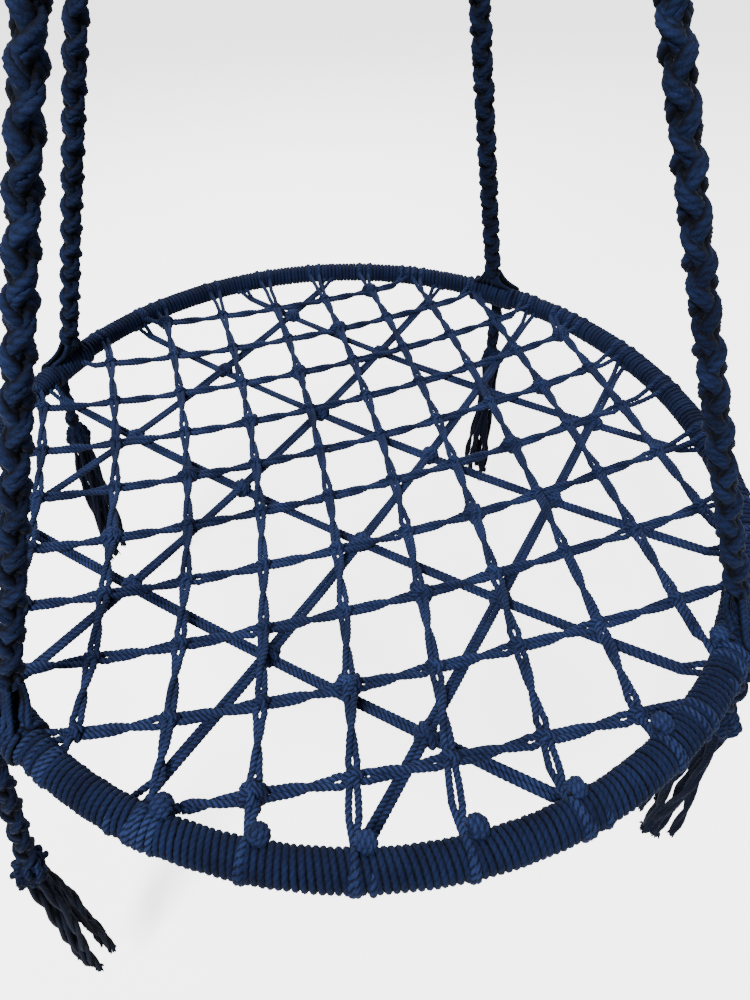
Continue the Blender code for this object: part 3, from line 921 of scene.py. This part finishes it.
def braid_surfaces(axis_path, radius, turn_length, seed):
    """A round braid of four bundles, each of three twisted cords pressed together. Its start is
    rounded, so that it turns freely where it hangs."""
    cord_radius = BRAID_CORD * radius
    bundle = BRAID_BUNDLE * radius
    middle = BRAID_MIDDLE * radius
    weave = BRAID_WEAVE * radius
    side, up = cross_axes(axis_path, BRAID_TOWARD)
    along = lengths_along(axis_path)
    rate = math.tau / turn_length
    start = np.sqrt(1.0 - (1.0 - np.clip(along / radius, BRAID_START, 1.0)) ** 2)
    surfaces = []
    for k, (way, phase) in enumerate(BRAID_BUNDLES):
        turn = way * rate * along + phase + wobble(along * 18, seed + k, 0.10)
        lump = way * np.sin(2 * rate * along)
        reach = start * (middle + weave * lump)
        spread = start * (bundle - cord_radius) * (BUNDLE_WIDTH + BUNDLE_BULGE * lump)
        outward = np.cos(turn)[:, None] * side + np.sin(turn)[:, None] * up
        centre = axis_path + reach[:, None] * outward
        across, high = cross_axes(centre, outward)
        for j in range(BUNDLE_CORDS):
            spin = math.tau * j / BUNDLE_CORDS + along * math.tau / BUNDLE_TURN * way
            offset = spread[:, None] * (np.cos(spin)[:, None] * across
                                        + BUNDLE_FLAT * np.sin(spin)[:, None] * high)
            surfaces.append(cord_surface(centre + offset, outward, radius=cord_radius,
                                         lay=BRAID_LAY * way, groove=BRAID_GROOVE, swell=start,
                                         packed=BRAID_PACKED))
    return surfaces


# How far each rope bows from a straight line, outward and along the hoop, as handmade braids do.
ROPE_BOWS = {"back_right": (-0.004, -0.001), "back_left": (0.000, 0.000),
             "front_left": (0.000, 0.000), "front_right": (-0.009, 0.000)}
# A rope braided more tightly is a little thinner than its neighbours.
ROPE_TIGHTNESS = {"back_right": 0.99, "back_left": 1.03, "front_left": 0.98, "front_right": 0.90}
ROPE_TURN = 0.066
ROPE_STEP = 0.0021
ROPE_SPANS = 12
# How far a rope runs up into the gathering, and down into its hitch.
ROPE_TOP_DEPTH = 0.040
ROPE_FOOT_DEPTH = 0.010


def make_ropes(cotton_rope):
    for k, corner in enumerate(CORNERS):
        foot, _, up = rope_line(corner)
        top_share = (GATHER_TOP_Z - ROPE_TOP_DEPTH - ROPE_AIM_Z) / (foot[2] - ROPE_AIM_Z)
        low = foot + up * (FORK_HEIGHT - ROPE_FOOT_DEPTH)
        top = ROPE_AIM + (foot - ROPE_AIM) * top_share
        _, outward, along = tube_frame(math.radians(CORNERS[corner]))
        bow = ROPE_BOWS[corner][0] * outward + ROPE_BOWS[corner][1] * along
        points = []
        for j in range(ROPE_SPANS + 1):
            sideways = bow * math.sin(math.pi * j / ROPE_SPANS)
            points.append(top + (low - top) * j / ROPE_SPANS + sideways)
        path = smooth_path(points, ROPE_STEP)
        radius = ROPE_RADIUS * ROPE_TIGHTNESS[corner]
        add_piece(f"braid_{corner}", braid_surfaces(path, radius, ROPE_TURN, 60 + 7 * k),
                  cotton_rope, replaced=[f"rope_{corner}"])
        add_piece(f"hitch_turns_{corner}", hitch_surfaces(corner), cotton_rope,
                  replaced=[f"hitch_{corner}"])


# ---------------------------------------------------------------- tails, knots and tassels

TAIL_TURN = 0.068
TAIL_STEP = 0.0022
TAIL_SPANS = 15
TAIL_START = 0.0075
TAIL_START_RISE = 0.012
TAIL_SWAY = 0.0025
KNOT_END = 0.004
# The tail's knot is three balls of cord: how far up each lies, its size and its turns.
KNOT_BALLS = ((0.009, 0.032, 4), (0.0, 0.038, 5), (-0.009, 0.033, 4))
KNOT_FLAT = 0.62
KNOT_CORD_RADIUS = 0.0033
STRANDS = 8
STRAND_SPANS = 15
STRAND_STEP = 0.0019
# How far up in the knot the strands start, and how far from its middle.
STRAND_RUN_IN = 0.006
STRAND_RING = 0.0095
STRAND_INNER_RING = 0.0035
STRAND_TOWARD = np.array([0.37, 0.90, 0.1])
STRAND_CORDS = 2
STRAND_CORD_RADIUS = 0.0027
STRAND_CORD_SPREAD = 0.0022
STRAND_TWIST = 0.13
# A strand's last part opens into thin tips, and its two cords run a little way in among them.
FRAY = 0.013
FRAY_OVERLAP = 0.008
FRAY_TIPS = 12
FRAY_TIP_RADIUS = 0.0016
FRAY_LAY = 0.009
FRAY_TAPER = 0.45


def tail_points(corner):
    """The tail's own line: from under the hitch down through its knot, nearly straight."""
    angle = math.radians(TAIL_PLACES[corner])
    centre, outward, along = tube_frame(angle)
    pivot = round_hoop(angle, math.pi + TAIL_PIVOT_SLOPE, TAIL_PIVOT_REACH)
    top = pivot + TAIL_START * unit(centre - pivot + TAIL_START_RISE * UP)
    lean = math.radians(TAIL_LEANS[corner])
    way = math.sin(lean) * outward - np.array([0.0, 0.0, math.cos(lean)])
    bottom = pivot + way * (TAIL_LENGTHS[corner] + KNOT_HEIGHT - KNOT_END)
    points = []
    for k in range(TAIL_SPANS + 1):
        share = k / TAIL_SPANS
        place = top + (bottom - top) * share
        points.append(place + TAIL_SWAY * math.sin(math.pi * share) * along)
    return points, outward, along, way


def strand_points(start, length, lean, curl):
    """A limp strand that leaves its knot downward and drifts a little sideways."""
    points = []
    for k in range(STRAND_SPANS + 1):
        share = k / STRAND_SPANS
        drop = np.array([0.0, 0.0, -length * share])
        points.append(start + drop + lean * math.sin(0.5 * math.pi * share)
                      + curl * math.sin(1.7 * math.pi * share))
    return points


def frayed_strand(path):
    """Two cords lying together, whose last part opens into thin tips."""
    along = lengths_along(path)
    open_from = along[-1] - FRAY
    side, up = cross_axes(path, STRAND_TOWARD)
    body = along < open_from + FRAY_OVERLAP
    surfaces = []
    for k in range(STRAND_CORDS):
        spin = math.pi * k + along * math.tau / STRAND_TWIST + wobble(along * 40, 5 + k, 0.25)
        apart = np.cos(spin)[:, None] * side + np.sin(spin)[:, None] * up
        line = path + STRAND_CORD_SPREAD * apart
        surfaces.append(cord_surface(line[body], STRAND_TOWARD, radius=STRAND_CORD_RADIUS))
    end = np.flatnonzero(along >= open_from)
    share = (along[end] - open_from) / FRAY
    for k in range(FRAY_TIPS):
        spin = math.tau * k / FRAY_TIPS + rng.uniform(-0.3, 0.3) + share * rng.uniform(0.2, 0.9)
        reach = rng.uniform(0.0014, 0.0036) + rng.uniform(-0.0004, 0.0032) * share
        tip = (path[end] + (reach * np.cos(spin))[:, None] * side[end]
               + (reach * np.sin(spin))[:, None] * up[end])
        keep = len(tip) if k < 3 else max(5, len(tip) - rng.randrange(0, 5))
        swell = 1.0 - FRAY_TAPER * share[:keep]
        surfaces.append(cord_surface(tip[:keep], STRAND_TOWARD, radius=FRAY_TIP_RADIUS,
                                     lay=FRAY_LAY, points=2, swell=swell))
    return surfaces


def make_tails(cotton_rope, cotton_tassel):
    for n, corner in enumerate(CORNERS):
        body = f"free_tail_{corner}"
        points, outward, along, down = tail_points(corner)
        path = smooth_path(points, TAIL_STEP)
        tail = add_piece(f"tail_braid_{corner}",
                         braid_surfaces(path, TAIL_RADIUS, TAIL_TURN, 130 + n),
                         cotton_rope, body=body, replaced=[f"tail_{corner}"])
        knot_centre = path[-1] - down * (KNOT_HEIGHT / 2 - KNOT_END)
        surfaces = []
        for lift, size, turns in KNOT_BALLS:
            surfaces += knot_ball(knot_centre - down * lift, size, turns, KNOT_FLAT,
                                  KNOT_CORD_RADIUS)
        knot = add_piece(f"tail_tie_{corner}", surfaces, cotton_rope, body=body,
                         replaced=[f"tail_knot_{corner}"])
        tip_z = HOOP_CENTRE[2] - TASSEL_TIP_DEPTHS[corner]
        top_z = knot_centre[2] - KNOT_HEIGHT / 2 + STRAND_RUN_IN
        for k in range(STRANDS):
            spin = math.tau * k / STRANDS + 0.3 * n
            way = math.cos(spin) * outward + math.sin(spin) * along
            ring = STRAND_RING if k % 3 else STRAND_INNER_RING
            start = np.array([knot_centre[0], knot_centre[1], top_z]) + ring * way
            drop = (top_z - tip_z) * rng.uniform(0.85, 0.985)
            lean = way * rng.uniform(0.002, 0.015 if corner == "front_left" else 0.009)
            curl = along * rng.uniform(-0.006, 0.006) + outward * rng.uniform(-0.005, 0.005)
            line = smooth_path(strand_points(start, drop, lean, curl), STRAND_STEP)
            piece = add_piece(f"strand_{corner}_{k + 1}", frayed_strand(line), cotton_tassel,
                              body=body,
                              replaced=[f"tassel_{corner}"] if k == 0 else ())


# ---------------------------------------------------------------- top fittings

TOP_CORD_RADIUS = 0.0029
# A loop's cords: how far its middle is from the wire's, and from the middle plane.
LOOP_REACH = RING_WIRE_RADIUS + 0.0072
LOOP_SIDE = 0.0072
LOOP_DEPTH = 0.012
LOOP_BENDS = 8
LOOP_STEP = 0.0024
LOOP_CORDS = 3
LOOP_CORD_SPREAD = 0.0032
LOOP_TWIST = 0.055
# The binding's radius at its top, and what it gains evenly and toward its foot.
GATHER_RADIUS = 0.0200
GATHER_FLARE = 0.0035
GATHER_SKIRT = 0.0065
GATHER_END = 0.0028
GATHER_POINTS_PER_TURN = 46
# The gathering's filling, from its bottom up: radius, and height, which is 0 at the gathering's top.
PLUG_PROFILE = ((0.024, 0.0005 - GATHER_HEIGHT), (0.0300, 0.004 - GATHER_HEIGHT),
                (0.0235, -0.5 * GATHER_HEIGHT), (0.0205, -0.003), (0.014, -0.0005))
PLUG_SIDES = 28
WELD_ANGLE = 1.5 * math.pi
WELD_HEIGHT = 0.00035
WELD_WIDTH = 0.0016


def make_top(cotton_rope, steel):
    ring = make_ring(steel)
    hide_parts("hanging_ring")
    make_loop("rope_loop_left", -1, cotton_rope)
    make_loop("rope_loop_right", 1, cotton_rope)
    make_gathering(cotton_rope)


def make_loop(node, side, cotton_rope):
    """Three twisted cords over the ring's wire, with both ends in the gathering."""
    x = side * LOOP_SIDE
    foot = GATHER_TOP_Z - LOOP_DEPTH
    arch = []
    for k in range(LOOP_BENDS + 1):
        a = math.pi * k / LOOP_BENDS
        arch.append((x, LOOP_REACH * math.cos(a), WIRE_Z + LOOP_REACH * math.sin(a)))
    middle = smooth_path([(x, LOOP_REACH, foot), *arch, (x, -LOOP_REACH, foot)], LOOP_STEP)
    across, high = cross_axes(middle, np.array([1.0, 0.0, 0.0]))
    along = lengths_along(middle)
    surfaces = []
    for k in range(LOOP_CORDS):
        spin = math.tau * k / LOOP_CORDS + along * math.tau / LOOP_TWIST
        apart = np.cos(spin)[:, None] * across + np.sin(spin)[:, None] * high
        surfaces.append(cord_surface(middle + LOOP_CORD_SPREAD * apart,
                                     np.array([1.0, 0.02, 0.0]), radius=TOP_CORD_RADIUS))
    add_piece(f"{node}_cords", surfaces, cotton_rope, replaced=[node])


def make_gathering(cotton_rope):
    """The binding over the ropes' upper ends, wider toward its foot, and its filling."""
    turns = round(GATHER_HEIGHT / WRAP_PITCH)
    a = np.linspace(0, math.tau * turns, turns * GATHER_POINTS_PER_TURN)
    share = a / a[-1]
    girth = GATHER_RADIUS + GATHER_FLARE * share + GATHER_SKIRT * share ** 2
    out = np.stack([np.cos(a), np.sin(a), np.zeros(len(a))], axis=1)
    path = girth[:, None] * out
    path[:, 2] = GATHER_TOP_Z - GATHER_END - (GATHER_HEIGHT - 2 * GATHER_END) * share
    wrap = cord_surface(path, out, radius=TOP_CORD_RADIUS)
    points = []
    for radius, height in PLUG_PROFILE:
        for j in range(PLUG_SIDES):
            b = math.tau * j / PLUG_SIDES
            points.append((radius * math.cos(b), radius * math.sin(b), GATHER_TOP_Z + height))
    # The filling takes full painted shade.
    plug = (np.array(points), ring_faces(len(PLUG_PROFILE), PLUG_SIDES), np.ones(len(points)))
    add_piece("gathering_wrap_turns", [wrap, plug], cotton_rope,
              replaced=["gathering_wrap"])


def make_ring(steel):
    """The ring's wire, with a small bead where it is welded shut."""
    bpy.ops.mesh.primitive_torus_add(
        major_radius=RING_RADIUS, minor_radius=RING_WIRE_RADIUS, major_segments=128,
        minor_segments=28, location=(0.0, 0.0, RING_CENTRE_Z), rotation=(math.pi / 2, 0.0, 0.0))
    ring = bpy.context.active_object
    ring.name = ring.data.name = "welded_ring"
    for vertex in ring.data.vertices:
        angle = math.atan2(vertex.co.y, vertex.co.x) % math.tau
        gap = abs(angle - WELD_ANGLE)
        away = min(gap, math.tau - gap) * RING_RADIUS
        bead = WELD_HEIGHT * math.exp(-(away / WELD_WIDTH) ** 2)
        centre = RING_RADIUS * Vector((math.cos(angle), math.sin(angle), 0.0))
        vertex.co += (vertex.co - centre).normalized() * bead
    ring.data.materials.append(steel)
    ring.data.shade_smooth()
    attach(ring, "ring")
    return ring


def finish_hidden_tube(steel):
    """The tube and its spigot stay as the CAD has them, in steel."""
    for node in ("hoop_tube", "hoop_joint_spigot"):
        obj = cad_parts[node]
        obj.data.materials.clear()
        obj.data.materials.append(steel)


def main():
    make_camera()
    navy_rope = cotton("navy_rope", (0.0001, 0.0004, 0.0020), (0.0011, 0.0023, 0.0082), 1.0)
    navy_tassel = cotton("navy_tassel", (0.0001, 0.0002, 0.0010), (0.0004, 0.0008, 0.0030), 0.7)
    navy_wrap = cotton("navy_wrap", (0.0001, 0.0004, 0.0023), (0.0007, 0.0016, 0.0064), 1.0)
    navy_net = cotton("navy_net", (0.0004, 0.0009, 0.0038), (0.0020, 0.0037, 0.0124), 1.0)
    steel = zinc_steel()
    make_tails(navy_rope, navy_tassel)
    make_floor()
    make_light()
    make_wrap(navy_wrap)
    make_net(navy_net)
    make_knobs(navy_net)
    make_ropes(navy_rope)
    make_top(navy_rope, steel)
    finish_hidden_tube(steel)


main()
